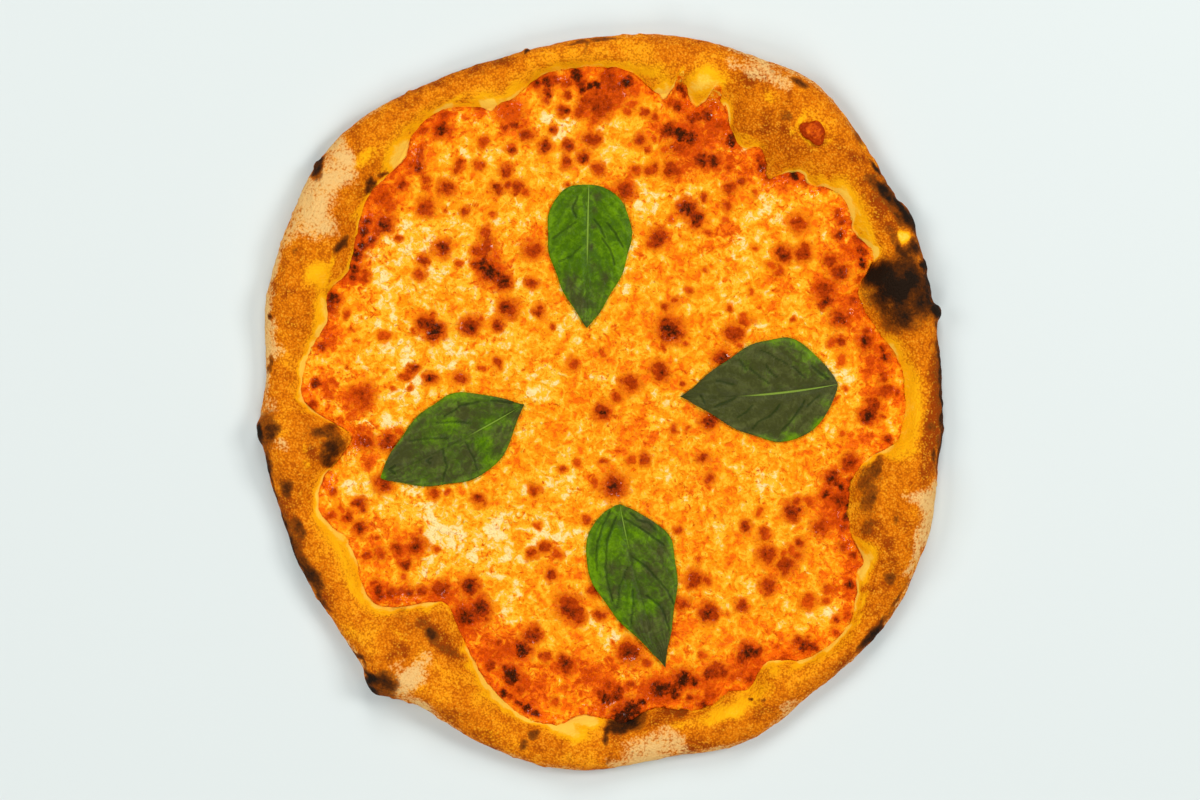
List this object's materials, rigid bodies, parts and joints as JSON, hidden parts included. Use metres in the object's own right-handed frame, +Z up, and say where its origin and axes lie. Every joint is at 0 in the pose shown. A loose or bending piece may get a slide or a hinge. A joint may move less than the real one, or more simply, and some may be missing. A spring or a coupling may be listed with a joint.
{
  "type": "margherita pizza",
  "caption": "Whole baked pizza: a flat round of dough with an unevenly puffed rim, filled with melted cheese and tomato, with basil leaves lying on it.",
  "frame": {"origin": "middle of the round, on the flat underside", "axes": "+Z up, through the topping; +Y towards the basil leaf named top; +X towards the leaf named right"},
  "size_m": [0.2985, 0.3213, 0.0188],
  "materials": {
    "crust": "baked dough, matt and grainy, scorched and floury in places",
    "cheese_and_tomato": "melted cheese over tomato, mottled, oily, with browned blisters",
    "basil_leaf_top": "fresh basil leaf, slightly glossy",
    "basil_leaf_right": "basil leaf darkened by heat, slightly glossy",
    "basil_leaf_bottom": "basil leaf partly darkened by heat, slightly glossy",
    "basil_leaf_left": "basil leaf darkened by heat, slightly glossy",
    "tomato_scrap": "tomato baked onto the rim"
  },
  "bodies": {
    "root": {"crust": "crust", "cheese_and_tomato": "cheese_and_tomato", "basil_leaf_top": "basil_leaf_top", "basil_leaf_right": "basil_leaf_right", "basil_leaf_bottom": "basil_leaf_bottom", "basil_leaf_left": "basil_leaf_left", "tomato_scrap": "tomato_scrap"}
  },
  "joints": []
}
